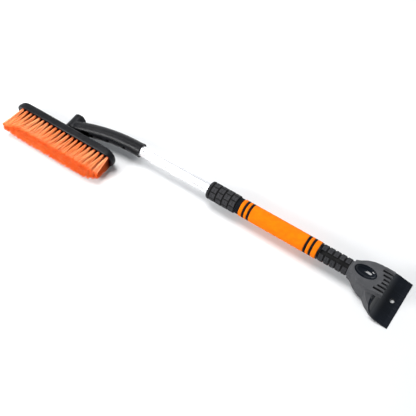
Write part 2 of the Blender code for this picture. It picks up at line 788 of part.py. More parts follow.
def arm_shell(name, side):
    """One half of the arm."""
    shell = piece(name, arm_tube(0.0, -0.0006, ARM_SEAM_X), "black_plastic", EXTENSION)
    combine(shell, arm_tube(-ARM_WALL, SOCKET_START, ARM_SEAM_X - 0.01), body=EXTENSION)
    combine(shell, arm_side(side * GAP / 2, side), "INTERSECT", EXTENSION)
    combine(shell, rod(SOCKET_START - 0.010, 0.010, INNER_TUBE_R + GAP), body=EXTENSION)
    return shell


def screw_rod(x, low, high, radius, segments=12):
    """A rod along Y on one of the arm's screws, measured from the centre line."""
    _, y, z = arm_centre(x)
    return moved(rod(y + low, y + high, radius, axis="Y", segments=segments), x=x, z=z)


def front_opening(start, length, low, high):
    """A tool for an opening in the front shell, placed from the arm's centre line."""
    _, y, z = arm_centre(start)
    return block((start - length, y - 0.03, z + low), (start, y - 0.006, z + high))


def build_arm_front():
    """Front shell with its counterbored screw bosses, its slots and the window by the nose."""
    front = arm_shell("arm_front_shell", -1)
    seat = -ARM_R + 0.0071
    for x in ARM_SCREW_XS:
        combine(front, screw_rod(x, -ARM_R + 0.0011, -ARM_PARTING - GAP, BOSS_R), "UNION", EXTENSION)
        _, y, z = arm_centre(x)
        stepped = turned([(-0.0300, HEAD_SEAT_R), (seat, HEAD_SEAT_R), (seat, THREAD_HOLE_R),
                          (0.0, THREAD_HOLE_R)], segments=TINY_ROUND, axis="Y")
        combine(front, moved(stepped, x=x, y=y, z=z), body=EXTENSION)
    for start, length, height in ARM_SLOTS:
        slot = front_opening(start, length, height - SLOT_HALF_HEIGHT, height + SLOT_HALF_HEIGHT)
        combine(front, slot, body=EXTENSION)
    window = front_opening(WINDOW_START, WINDOW_LENGTH, WINDOW_LOW, WINDOW_HIGH)
    combine(front, window, body=EXTENSION)


def build_arm():
    """Both shells of the arm and the screws that hold them together."""
    build_arm_front()
    back = arm_shell("arm_back_shell", 1)
    for x in ARM_SCREW_XS:
        combine(back, screw_rod(x, -ARM_PARTING + GAP, ARM_R - 0.001, POST_R), "UNION", EXTENSION)
        combine(back, screw_rod(x, -ARM_R, ARM_R - 0.004, THREAD_HOLE_R, 8), body=EXTENSION)
    under_head = -ARM_R + 0.0068
    profile = [(under_head - 0.0019, SCREW_HEAD_R - 0.0006), (under_head - 0.0012, SCREW_HEAD_R),
               (under_head, SCREW_HEAD_R),
               (under_head, THREAD_R), (0.0060, THREAD_R)]
    for index, x in enumerate(ARM_SCREW_XS, 1):
        _, y, z = arm_centre(x)
        screw = turned(profile, segments=8, axis="Y")
        piece(f"arm_screw_{index}", moved(screw, x=x, y=y, z=z), "steel", EXTENSION)


# ---- swivel ----------------------------------------------------------------
def build_swivel_housing():
    """Barrel across the arm's end, with the bullet nose that joins it to the shells."""
    outer = [(BARREL_FRONT, BARREL_R - 0.0010), (BARREL_FRONT + 0.0010, BARREL_R),
             (BARREL_BACK - 0.0020, BARREL_R), (BARREL_BACK, BARREL_R - 0.0016)]
    recess = BARREL_FRONT + 0.0045
    bore = [(BARREL_FRONT, RECESS_R), (recess, RECESS_R), (recess, BARREL_BORE_R),
            (WELL_START, BARREL_BORE_R), (WELL_START, WELL_R), (WELL_END, WELL_R),
            (WELL_END, BUTTON_R + GAP), (BARREL_BACK, BUTTON_R + GAP)]
    housing = piece("swivel_housing", on_hub(turned(outer, bore, axis="Y")), "black_plastic", EXTENSION)
    nose = cutter(nose_mesh(), EXTENSION)
    tenon_points = arm_path(ARM_SEAM_X + TENON, ARM_SEAM_X - TENON, 3)
    tenon = sweep(tenon_points, [ARM_R - ARM_WALL - GAP] * len(tenon_points))
    combine(nose, tenon, "UNION", EXTENSION)
    core = rod(-0.08, 0.02, BARREL_R - 0.0008, axis="Y", segments=SMALL_ROUND)
    combine(nose, on_hub(core), body=EXTENSION)
    behind_block = block((HUB_X - 0.03, BLOCK_BACK - 0.02, HUB_Z - 0.03),
                         (HUB_X + 0.03, BARREL_FRONT + 0.0012, HUB_Z + 0.03))
    combine(nose, behind_block, body=EXTENSION)
    combine(housing, nose, "UNION")


def nose_mesh():
    """The bullet nose, from the shells' seam to its round tip."""
    points = arm_path(ARM_SEAM_X - GAP, NOSE_END_X, 2)
    radii = [ARM_R, (ARM_R + NOSE_R) / 2, NOSE_R]
    steps = 6
    for step in range(1, steps + 1):
        angle = math.radians(84) * step / steps
        points.append(arm_centre(NOSE_END_X - NOSE_R * math.sin(angle)))
        radii.append(NOSE_R * math.cos(angle))
    return sweep(points, radii)


def on_hub(mesh):
    """Move a piece turned about Y to the hub's axis."""
    return moved(mesh, x=HUB_X, z=HUB_Z)


def build_lock_ring():
    """Notched ring on the spindle, which the release button lets go."""
    start = BARREL_FRONT + GAP
    notched = piece("lock_ring", on_hub(ring(start, start + 0.0037, SPINDLE_R + GAP, LOCK_RING_R,
                                             axis="Y", segments=SMALL_ROUND)), "steel", BRUSH)
    for quarter in range(4):
        notch = block((LOCK_RING_R - 0.0010, start + 0.0019, -0.0012),
                      (LOCK_RING_R + 0.0012, start + 0.0060, 0.0012))
        notch.transform(Matrix.Rotation(math.radians(90 * quarter), 4, "Y"))
        combine(notched, on_hub(notch), body=BRUSH)


def build_swivel():
    """Spindle pressed into the brush, with its lock ring, washer and end screw."""
    pocket = BLOCK_BACK - SPINDLE_ROOT
    flange = [(pocket, ROOT_R), (BLOCK_BACK + GAP, ROOT_R), (BLOCK_BACK + GAP, FLANGE_R),
              (BARREL_FRONT - GAP, FLANGE_R), (BARREL_FRONT - GAP, SPINDLE_R), (SPINDLE_END, SPINDLE_R)]
    spindle = piece("swivel_spindle", on_hub(turned(flange, axis="Y")), "black_plastic", BRUSH)
    thread = rod(SPINDLE_END - 0.0090, SPINDLE_END + 0.001, THREAD_HOLE_R + 0.0001, axis="Y", segments=8)
    combine(spindle, on_hub(thread), body=BRUSH)
    build_lock_ring()
    washer = ring(SPINDLE_END + GAP, SPINDLE_END + 0.0015, THREAD_HOLE_R + GAP, SPINDLE_R - 0.0001,
                  axis="Y", segments=SMALL_ROUND)
    piece("spindle_washer", on_hub(washer), "steel", BRUSH)
    under_head = SPINDLE_END + 0.0018
    screw = turned([(under_head - 0.0098, THREAD_R + 0.0001), (under_head, THREAD_R + 0.0001),
                    (under_head, 0.0034), (under_head + 0.0022, 0.0030)], axis="Y", segments=TINY_ROUND)
    piece("spindle_screw", on_hub(screw), "steel", BRUSH)


def build_button():
    """Release button in the barrel's far end, with its return spring."""
    seat = WELL_END - GAP
    flange = seat - 0.0035
    outer = [(flange, BUTTON_FLANGE_R), (seat, BUTTON_FLANGE_R), (seat, BUTTON_R),
             (BUTTON_PROUD - 0.0008, BUTTON_R), (BUTTON_PROUD, BUTTON_R - 0.0009)]
    button = piece("release_button", on_hub(turned(outer, axis="Y", segments=SMALL_ROUND)),
                   "black_plastic", BUTTON)
    thumb_groove = block((-THUMB_GROOVE_HALF_WIDTH, BUTTON_PROUD - THUMB_GROOVE_DEPTH, -0.02),
                         (THUMB_GROOVE_HALF_WIDTH, BUTTON_PROUD + 0.003, 0.02))
    combine(button, on_hub(thumb_groove), body=BUTTON)
    spring = ring(flange - 0.0030, flange - GAP, 0.0062, 0.0075, axis="Y", segments=SMALL_ROUND)
    piece("button_spring", on_hub(spring), "steel", BUTTON)


# ---- brush -----------------------------------------------------------------
def stadium(half_length, half_height, steps=10):
    """A bar with round ends, in the XZ plane, about the brush's middle."""
    reach = half_length - half_height
    right = arc((BLOCK_CENTRE_X + reach, HUB_Z), half_height, -math.pi / 2, math.pi / 2, steps)
    left = arc((BLOCK_CENTRE_X - reach, HUB_Z), half_height, math.pi / 2, math.pi * 1.5, steps)
    return right + left


def row_height(row):
    """Height of a bristle row above the handle's axis."""
    return HUB_Z + (row - (ROW_COUNT - 1) / 2) * ROW_PITCH


def tuft_centres():
    """Tuft centres along a row."""
    middle = (TUFT_COUNT - 1) / 2
    return [TUFT_CENTRE_X + (index - middle) * TUFT_PITCH for index in range(TUFT_COUNT)]


def bristle_outline():
    """A comb outline in the XY plane: a root bar and tapered tufts that nearly meet."""
    centres = tuft_centres()
    half_root = TUFT_ROOT_WIDTH / 2
    half_tip = (TUFT_PITCH - TUFT_TIP_SLIT) / 2
    bar_back = BLOCK_FRONT + ROOT_DEPTH
    outline = [(centres[0] - half_root, bar_back), (centres[-1] + half_root, bar_back)]
    for centre in reversed(centres):
        outline += [(centre + half_root, BLOCK_FRONT), (centre + half_tip, BRISTLE_TIP_Y),
                    (centre - half_tip, BRISTLE_TIP_Y), (centre - half_root, BLOCK_FRONT)]
    return outline


def bristle_row(row):
    """One row of tufts, spread in height and along the brush towards its tips."""
    height = row_height(row)
    mesh = prism(bristle_outline(), -ROW_THICKNESS / 2, ROW_THICKNESS / 2)
    reach = BLOCK_FRONT - BRISTLE_TIP_Y
    for vertex in mesh.vertices:
        out = min(1.0, max(0.0, (BLOCK_FRONT - vertex.co.y) / reach))
        along = (vertex.co.x - TUFT_CENTRE_X) / TUFT_HALF_LENGTH
        spread = 1.0 + (BRISTLE_SPREAD_Z - 1.0) * out
        thickness = 1.0 + (spread - 1.0) * ROW_SWELL
        vertex.co.z = HUB_Z + (height - HUB_Z) * spread + vertex.co.z * thickness
        if along < 0:
            vertex.co.x += BRISTLE_SPREAD_X * out * along ** 3
    return piece(f"bristle_row_{row + 1}", mesh, "orange_bristle", BRUSH)


def round_off(place, radius):
    """How far a rounded back edge has drawn in, at a distance in front of the back."""
    into = max(0.0, radius - place)
    return radius - math.sqrt(radius ** 2 - into ** 2)


def bar_sections():
    """The bar's outlines from front to back, drawn in where its edges are rounded."""
    cuts = [(BLOCK_FRONT, BLOCK_CHAMFER, BLOCK_CHAMFER), (BLOCK_FRONT + BLOCK_CHAMFER, 0.0, 0.0)]
    for share in (1.0, 0.72, 0.52, 0.36, 0.24, 0.14, 0.06, 0.0):
        place = BLOCK_END_ROUND * share
        cuts.append((BLOCK_BACK - place, round_off(place, BLOCK_END_ROUND), round_off(place, BLOCK_TOP_ROUND)))
    for y, end_cut, top_cut in cuts:
        long_share = 1.0 - end_cut / BLOCK_HALF_LENGTH
        high_share = 1.0 - top_cut / BLOCK_HALF_HEIGHT
        yield [(BLOCK_CENTRE_X + (x - BLOCK_CENTRE_X) * long_share, y, HUB_Z + (z - HUB_Z) * high_share)
               for x, z in stadium(BLOCK_HALF_LENGTH, BLOCK_HALF_HEIGHT)]


def loft(sections):
    """Join like outlines, one behind the other, into a closed solid."""
    work = bmesh.new()
    rings = [[work.verts.new(point) for point in section] for section in sections]
    for near, far in zip(rings, rings[1:]):
        for index in range(len(near)):
            work.faces.new((near[index - 1], near[index], far[index], far[index - 1]))
    work.faces.new(rings[0])
    work.faces.new(rings[-1])
    bmesh.ops.recalc_face_normals(work, faces=work.faces)
    return mesh_from_bmesh(work, "loft")


def build_brush():
    """Brush bar with a groove for each bristle row, and the rows."""
    bar = piece("brush_block", loft(list(bar_sections())), "black_plastic", BRUSH)
    centres = tuft_centres()
    reach = TUFT_ROOT_WIDTH / 2 + GAP
    half = ROW_THICKNESS / 2 + GAP
    for row in range(ROW_COUNT):
        height = row_height(row)
        slot = block((centres[0] - reach, BLOCK_FRONT - 0.01, height - half),
                     (centres[-1] + reach, BLOCK_FRONT + ROOT_DEPTH + GAP, height + half))
        combine(bar, slot, body=BRUSH)
        bristle_row(row)
    pocket = rod(BLOCK_BACK - SPINDLE_ROOT - GAP, 0.0, ROOT_R + GAP, axis="Y", segments=SMALL_ROUND)
    combine(bar, on_hub(pocket), body=BRUSH)


build_outer_tube()
build_twist_lock()
build_grip()
build_neck()
build_head_pin()
build_scraper_head()
build_thumb_rest()
build_blade()
build_blade_screws()
build_inner_tube()
build_arm()
build_swivel_housing()
build_swivel()
build_button()
build_brush()
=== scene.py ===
"""Looks of the telescopic snow brush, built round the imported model.

The frame's nodes keep their places. The tubes, rings, foam, rubber and filaments are
made again here at full detail, the moulded pieces get their edge radii, and every
surface gets a procedural material.
"""
import json
import math

import bmesh
import bpy
import numpy as np
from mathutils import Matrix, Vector, noise


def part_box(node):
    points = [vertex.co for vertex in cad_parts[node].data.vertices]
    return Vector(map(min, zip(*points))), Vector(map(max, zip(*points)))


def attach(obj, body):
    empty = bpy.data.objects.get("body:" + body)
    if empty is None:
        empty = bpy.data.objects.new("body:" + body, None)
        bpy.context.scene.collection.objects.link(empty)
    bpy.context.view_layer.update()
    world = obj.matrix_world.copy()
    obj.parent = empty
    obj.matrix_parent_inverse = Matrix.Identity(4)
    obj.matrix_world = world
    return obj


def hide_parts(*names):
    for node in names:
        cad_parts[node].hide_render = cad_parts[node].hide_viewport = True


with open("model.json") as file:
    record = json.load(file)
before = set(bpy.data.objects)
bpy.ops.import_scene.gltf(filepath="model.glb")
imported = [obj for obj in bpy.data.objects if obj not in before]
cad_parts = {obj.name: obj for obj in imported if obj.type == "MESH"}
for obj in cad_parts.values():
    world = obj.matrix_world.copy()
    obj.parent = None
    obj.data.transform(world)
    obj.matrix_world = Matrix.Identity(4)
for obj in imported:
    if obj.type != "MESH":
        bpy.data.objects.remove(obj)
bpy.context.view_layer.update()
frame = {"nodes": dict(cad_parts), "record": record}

# ---- driving sizes, in metres ----------------------------------------------
GAP = 0.0003
# Depth below the skin at which the stored depth share, used for painted shade, reaches 1.
HOLLOW_DEPTH = 0.0025
SLEEVE_BORE_R = 0.0133
BAND_BORE_R = 0.01625
BAND_COUNT = 4
TUFTS = 21
TUFT_PITCH = 0.01125
ROWS = 5
ROW_PITCH = 0.0072
TUFT_R = 0.0025
TUFT_CENTRE_X = -0.3065
TUFT_HALF_LENGTH = 0.1235
ROW_SPREAD = 1.62
LOW_SPREAD = 1.30
END_SPREAD = 0.55
TUFT_EASE = 1.32
# Share of a filament's length over which the painted shade among the rows fades out.
ROW_SHADE_SHARE = 0.42
LEFT_FLARE = 0.0112
RIGHT_FLARE = -0.0050
LEFT_CUT_BACK = -0.0036
RIGHT_CUT_BACK = 0.0068
DRAWN_IN_POWER = 1.5
ROOT_GAP = 0.0004
TIP_INSET = 0.0020
TIP_RAGGED = 0.0018
TIP_SPREAD_X = 3.05
TIP_SPREAD_Z = 2.5
TIP_SPREAD_Z_LOSS = 0.9
WANDER = 0.0009
BOW = 0.0006
FLOOR_CLEARANCE = 0.0007
SHADE_SCATTER = 0.16
STRAND_TAPER = 0.18
END_START = 0.62
END_SHARE = 0.911
CLUMPS = 7
FILAMENTS = 74
FILAMENT_R = 0.00034
FILAMENT_STATIONS = (0.0, 0.30, 0.64, 1.0)
GROOVE_ANGLE = math.radians(25)
GROOVE_START = 0.0095
GROOVE_HALF_WIDTH = 0.0009
GROOVE_DEPTH = 0.0006
GROOVE_RUNOUT = 0.003
TUBE_WALL = 0.0015
TUBE_EDGE = 0.0004
ARM_MOUTH_X = -0.1490
COLLAR_NOSE = 0.0080
COLLAR_NOSE_ROUND = 0.0042
COLLAR_TAIL_ROUND = 0.0015
COLLAR_LINE_X = 0.0050
COLLAR_RIBS = 4
COLLAR_GROOVE = 0.0018
COLLAR_GROOVE_DEPTH = 0.0017
COLLAR_SPLIT_DEPTH = 0.0004
COLLAR_GAP_DEPTH = 0.0010
COLLAR_BLOCKS = 9
# Steps of the bore, as (distance from the nose, radius): the mouth, the cone that
# closes the collet, and the wide part round the bush.
COLLAR_BORE = ((0.0, 0.01205), (0.0030, 0.01205), (0.0033, 0.0133),
               (0.0125, 0.0153), (0.0180, 0.0161))
NECK_RIBS = 5
NECK_VALLEY = 0.0016
NECK_LINE_DEPTH = 0.0004
CHANNEL_START = 0.003
CHANNEL_WALL = 0.0006
CHANNEL_ANGLE = math.radians(26)
CHANNEL_HALF_WIDTH = 0.00425
CHANNEL_FLOOR_R = 0.0139
BLADE_BEVEL = 0.0090
FOAM_ROUND = 0.0016
FOAM_SQUEEZE = 0.0016
FLOOR_SIZE = 6.0
# Lights, as (name, place, target, size, power in watts).
LIGHTS = (
    ("key", (-0.60, 0.22, 2.80), (0.0, 0.0, 0.0), (1.35, 1.35), 80.0),
    ("rim", (-1.6, 1.9, 0.75), (0.0, 0.0, 0.0), (1.6, 0.6), 8.0),
    ("fill", (-0.75, -0.95, 0.75), (-0.31, -0.05, 0.03), (0.5, 0.5), 17.0),
)
# Moulded nodes that get their edge radii, as (node, radius, segments).
MOULDED_NODES = (
    ("arm_back_shell", 0.0004, 2), ("arm_front_shell", 0.0004, 2),
    ("swivel_housing", 0.0005, 2), ("release_button", 0.0004, 2),
    ("swivel_spindle", 0.0003, 2), ("brush_block", 0.0004, 2),
    ("scraper_head", 0.0006, 3), ("scraper_blade", 0.0003, 2),
    ("thumb_rest", 0.0002, 2), ("tube_rivet", 0.0002, 2),
)

CAMERA_AZIMUTH = math.radians(34.04)
CAMERA_ELEVATION = math.radians(57.9)
CAMERA_TARGET = (0.0406, -0.0124, 0.0359)
CAMERA_DISTANCE = 1.5795
CAMERA_LENS = 69.6


# ---- materials -------------------------------------------------------------
class Look:
    """A Principled material whose nodes read the piece's own coordinates, in metres."""

    def __init__(self, name, colour, roughness, metallic=0.0, **constants):
        self.material = bpy.data.materials.new(name)
        self.material.use_nodes = True
        self.tree = self.material.node_tree
        self.shader = self.tree.nodes["Principled BSDF"]
        self.put("Base Color", (*colour, 1.0))
        self.put("Roughness", roughness)
        self.put("Metallic", metallic)
        for socket, value in constants.items():
            self.put(socket.replace("_", " "), value)
        self.place = self.tree.nodes.new("ShaderNodeTexCoord").outputs["Object"]

    def join(self, value, socket):
        """Link a socket, or set its value when given a number or a colour."""
        if isinstance(value, bpy.types.NodeSocket):
            self.tree.links.new(value, socket)
        else:
            socket.default_value = value

    def put(self, socket, value):
        """Set or link one of the shader's sockets."""
        self.join(value, self.shader.inputs[socket])

    def stretched(self, scale):
        """The piece's coordinates, scaled along each axis."""
        mapping = self.tree.nodes.new("ShaderNodeMapping")
        mapping.inputs["Scale"].default_value = scale
        self.join(self.place, mapping.inputs["Vector"])
        return mapping.outputs["Vector"]

    def noise(self, scale, detail=2.0, stretch=None):
        """Noise with features about 1/scale metres across."""
        node = self.tree.nodes.new("ShaderNodeTexNoise")
        node.inputs["Scale"].default_value = scale
        node.inputs["Detail"].default_value = detail
        self.join(self.stretched(stretch) if stretch else self.place, node.inputs["Vector"])
        return node.outputs["Fac"]

    def cells(self, scale):
        """Distance to the nearest of scattered points, for pores."""
        node = self.tree.nodes.new("ShaderNodeTexVoronoi")
        node.inputs["Scale"].default_value = scale
        self.join(self.place, node.inputs["Vector"])
        return node.outputs["Distance"]

    def maths(self, operation, first, second=0.0):
        """One arithmetic step."""
        node = self.tree.nodes.new("ShaderNodeMath")
        node.operation = operation
        self.join(first, node.inputs[0])
        self.join(second, node.inputs[1])
        return node.outputs["Value"]

    def spread(self, value, low, high, out_low=0.0, out_high=1.0):
        """Map a value's range onto another, clamped."""
        node = self.tree.nodes.new("ShaderNodeMapRange")
        for index, number in enumerate((low, high, out_low, out_high), 1):
            node.inputs[index].default_value = number
        self.join(value, node.inputs[0])
        return node.outputs["Result"]

    def mix(self, factor, first, second):
        """Blend two colours."""
        node = self.tree.nodes.new("ShaderNodeMix")
        node.data_type = "RGBA"
        self.join(factor, node.inputs["Factor"])
        colour_inputs = [socket for socket in node.inputs if socket.type == "RGBA"]
        for socket, colour in zip(colour_inputs, (first, second)):
            self.join((*colour, 1.0) if isinstance(colour, tuple) else colour, socket)
        return [socket for socket in node.outputs if socket.type == "RGBA"][0]

    def axis(self, name):
        """One of the piece's coordinates."""
        node = self.tree.nodes.new("ShaderNodeSeparateXYZ")
        self.join(self.place, node.inputs["Vector"])
        return node.outputs[name]

    def attribute(self, name):
        """A value stored on the mesh's points."""
        node = self.tree.nodes.new("ShaderNodeAttribute")
        node.attribute_name = name
        return node.outputs["Fac"]

    def bump(self, height, distance, strength=1.0):
        """Raise the surface by a height pattern, distance metres high."""
        node = self.tree.nodes.new("ShaderNodeBump")
        node.inputs["Distance"].default_value = distance
        node.inputs["Strength"].default_value = strength
        self.join(height, node.inputs["Height"])
        self.put("Normal", node.outputs["Normal"])


def aluminium():
    """Satin tube, drawn along its length, with faint scratches."""
    look = Look("aluminium_satin", (0.86, 0.86, 0.87), 0.36, 0.9, Anisotropic=0.35)
    streaks = look.noise(1.0, 3.0, (14, 1500, 1500))
    marks = look.noise(1.0, 4.0, (40, 420, 420))
    tone = look.mix(streaks, (0.80, 0.80, 0.815), (0.90, 0.90, 0.91))
    look.put("Base Color", look.mix(look.spread(marks, 0.56, 0.70), tone, (0.70, 0.70, 0.72)))
    look.put("Roughness", look.spread(streaks, 0.25, 0.75, 0.28, 0.44))
    look.bump(streaks, 0.00002)
    return look.material


def steel():
    """Zinc-plated steel."""
    look = Look("steel_plated", (0.42, 0.42, 0.44), 0.34, 1.0)
    blotches = look.noise(900, 3.0)
    look.put("Base Color", look.mix(blotches, (0.34, 0.34, 0.36), (0.52, 0.52, 0.53)))
    look.put("Roughness", look.spread(blotches, 0.3, 0.7, 0.26, 0.46))
    look.bump(look.noise(4000), 0.00001)
    return look.material


def moulded(name, dark, light, scuff, roughness, grain=2600, depth=0.00003):
    """Moulded plastic with a fine spark-eroded grain, uneven tone and light scuffs."""
    look = Look(name, dark, roughness, Specular_IOR_Level=0.17)
    tone = look.mix(look.spread(look.noise(70, 3.0), 0.3, 0.7), dark, light)
    rubbed = look.noise(1.0, 5.0, (160, 900, 900))
    look.put("Base Color", look.mix(look.spread(rubbed, 0.63, 0.78, 0.0, 0.7), tone, scuff))
    look.put("Roughness", look.spread(look.noise(240, 3.0), 0.3, 0.7,
                                      roughness - 0.07, roughness + 0.08))
    look.bump(look.noise(grain, 2.0), depth)
    return look


def grey_moulded():
    """The head's charcoal plastic: fine machined lines follow the dish, and light scuffs lie over
    it.
    """
    look = moulded("plastic_charcoal", (0.058, 0.059, 0.063), (0.077, 0.078, 0.084),
                   (0.17, 0.17, 0.175), 0.55)
    low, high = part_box("thumb_rest")
    middle = (low + high) / 2
    reach = look.maths("SUBTRACT", look.axis("X"), middle.x)
    width = look.maths("MULTIPLY", look.maths("SUBTRACT", look.axis("Y"), middle.y), 1.5)
    square = look.maths("ADD", look.maths("MULTIPLY", reach, reach),
                        look.maths("MULTIPLY", width, width))
    lines = look.maths("SINE", look.maths("MULTIPLY", look.maths("SQRT", square), 3600.0))
    grain = look.noise(2600, 2.0)
    look.bump(look.maths("ADD", look.maths("MULTIPLY", lines, 0.5), grain), 0.00004)
    return look.material


def rubber():
    """Matte soft-touch rubber with a little dust in its pores, and painted shade, near black, deep
    in its grooves, channel and bore.
    """
    look = Look("rubber_matte", (0.016, 0.016, 0.017), 0.66, Specular_IOR_Level=0.24)
    dust = look.spread(look.noise(520, 4.0), 0.5, 0.75)
    skin = look.mix(dust, (0.024, 0.024, 0.0268), (0.060, 0.060, 0.065))
    # Painted shade: the deeper a point lies below the skin, the nearer black its colour, in
    # grooves, the neck's channel and the bore.
    depth_shade = look.spread(look.attribute("depth_shade"), 0.03, 0.26)
    look.put("Base Color", look.mix(depth_shade, skin, (0.0015, 0.0015, 0.0018)))
    look.put("Roughness", look.spread(look.noise(150, 2.0), 0.3, 0.7, 0.64, 0.84))
    look.bump(look.noise(3400, 2.0), 0.00005)
    return look.material


def band_rubber():
    """Smooth dark rubber of the rings let into the foam."""
    look = Look("rubber_band", (0.003, 0.004, 0.006), 0.7, 0.0, Specular_IOR_Level=0.10)
    look.put("Base Color", look.mix(look.noise(300, 3.0), (0.002, 0.003, 0.005),
                                    (0.005, 0.007, 0.010)))
    look.put("Roughness", look.spread(look.noise(180, 2.0), 0.3, 0.7, 0.60, 0.80))
    look.bump(look.noise(3000, 2.0), 0.00003)
    return look.material


def gloss_black():
    """Polished blue-black plastic with faint smears, and hairline scratches by the edge."""
    look = Look("gloss_black", (0.004, 0.006, 0.010), 0.10, 0.0, Specular_IOR_Level=0.42)
    smears = look.noise(55, 3.0)
    hairlines = look.noise(1.0, 2.0, (60, 2200, 60))
    edge_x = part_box("scraper_blade")[1].x
    by_edge = look.spread(look.axis("X"), edge_x - 0.030, edge_x, 0.0, 1.0)
    worn = look.maths("MULTIPLY", look.spread(hairlines, 0.58, 0.72), by_edge)
    ground = look.spread(look.axis("X"), edge_x - BLADE_BEVEL - 0.0008,
                         edge_x - BLADE_BEVEL, 0.0, 1.0)
    tone = look.mix(ground, (0.004, 0.006, 0.010), (0.007, 0.009, 0.014))
    look.put("Base Color", look.mix(worn, tone, (0.032, 0.034, 0.040)))
    gloss = look.spread(smears, 0.35, 0.75, 0.07, 0.15)
    rough = look.maths("ADD", look.maths("MULTIPLY", worn, 0.22),
                       look.maths("MULTIPLY", ground, 0.08))
    look.put("Roughness", look.maths("ADD", gloss, rough))
    look.bump(look.noise(380, 2.0), 0.00001)
    return look.material


def foam():
    """Dyed closed-cell foam: pores with painted shade in them, a slightly uneven colour and a soft
    sheen.
    """
    look = Look("foam_orange", (0.93, 0.22, 0.001), 0.92, 0.0, Specular_IOR_Level=0.12)
    pores = look.cells(1500)
    patches = look.noise(90, 3.0)
    tone = look.mix(look.spread(patches, 0.3, 0.7), (0.87, 0.172, 0.0005), (0.97, 0.216, 0.001))
    # Painted shade: the colour darkens towards the middle of each pore.
    pore_shade = look.spread(pores, 0.0, 0.28, 0.45, 0.0)
    look.put("Base Color", look.mix(pore_shade, tone, (0.60, 0.110, 0.0005)))
    look.put("Roughness", look.spread(patches, 0.3, 0.7, 0.86, 0.97))
    look.bump(look.maths("ADD", look.spread(pores, 0.0, 0.5), look.noise(2600, 3.0)), 0.00016)
    return look.material


def bristle():
    """Extruded filaments: painted shade at their roots and among the lower rows, pale along their
    sides, deeper at the cut tips.
    """
    look = Look("bristle_orange", (0.95, 0.27, 0.05), 0.46, 0.0, Specular_IOR_Level=0.4)
    strand = look.attribute("strand")
    along = look.attribute("along")
    side = look.mix(strand, (0.96, 0.19, 0.028), (1.0, 0.42, 0.16))
    # Painted shade: the first tenth of each filament's length is darkened to red-brown, for the
    # shade among the roots.
    root = look.mix(look.spread(along, 0.0, 0.10), (0.50, 0.055, 0.006), side)
    tip = look.mix(strand, (0.96, 0.135, 0.010), (1.0, 0.21, 0.030))
    # Painted shade: the rows below the top one are darkened near their roots, for the shade among
    # the rows.
    row_shade = look.mix(look.attribute("row_shade"), root, (0.20, 0.014, 0.002))
    look.put("Base Color", look.mix(look.spread(along, 0.93, 1.0), row_shade, tip))
    look.put("Roughness", look.spread(strand, 0.0, 1.0, 0.34, 0.52))
    look.bump(look.noise(5000), 0.00002)
    return look.material


PLASTIC = moulded("plastic_black", (0.0050, 0.0053, 0.0062), (0.0095, 0.0100, 0.0120),
                  (0.028, 0.029, 0.032), 0.36).material
CHARCOAL = grey_moulded()
ALUMINIUM = aluminium()
STEEL = steel()
RUBBER = rubber()
GLOSS = gloss_black()
FOAM = foam()
BRISTLE = bristle()
BAND = band_rubber()
SLOT_LOOKS = {
    "aluminium": ALUMINIUM, "steel": STEEL, "black_plastic": PLASTIC, "black_rubber": RUBBER,
    "grey_plastic": CHARCOAL, "gloss_black": GLOSS, "orange_foam": FOAM, "orange_bristle": BRISTLE,
}
NODE_SLOTS = {part["node"]: part["material_slot"] for part in frame["record"]["subparts"]}
NODE_BODIES = {node: body for body, nodes in frame["record"]["behaviour"]["bodies"].items()
               for node in nodes}


# ---- making pieces ---------------------------------------------------------
def stand_in(mesh, node, smooth_angle=35):
    """Make the piece that stands for a node, with the node's body, slot and material."""
    mesh.shade_smooth()
    mesh.set_sharp_from_angle(angle=math.radians(smooth_angle))
    mesh.materials.clear()
    mesh.materials.append(SLOT_LOOKS[NODE_SLOTS[node]])
    piece = bpy.data.objects.new(f"{node}_detail", mesh)
    bpy.context.scene.collection.objects.link(piece)
    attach(piece, NODE_BODIES[node])
    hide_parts(node)
    return piece


def rounded(node, width, segments, angle=32):
    """Copy a moulded node, give its edges their radius and smooth its curved faces."""
    mesh = frame["nodes"][node].data.copy()
    mesh.name = f"{node}_detail"
    work = bmesh.new()
    work.from_mesh(mesh)
    bmesh.ops.remove_doubles(work, verts=work.verts, dist=0.00001)
    bmesh.ops.dissolve_limit(work, angle_limit=math.radians(1.5),
                             verts=work.verts, edges=work.edges)
    work.to_mesh(mesh)
    work.free()
    edges = stand_in(mesh, node).modifiers.new("edges", "BEVEL")
    edges.width = width
    edges.segments = segments
    edges.limit_method = "ANGLE"
    edges.angle_limit = math.radians(angle)
    edges.use_clamp_overlap = True
    edges.harden_normals = False


def axis_of(node):
    """Height and place across of a round node's axis."""
    low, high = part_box(node)
    return (low.y + high.y) / 2, (low.z + high.z) / 2


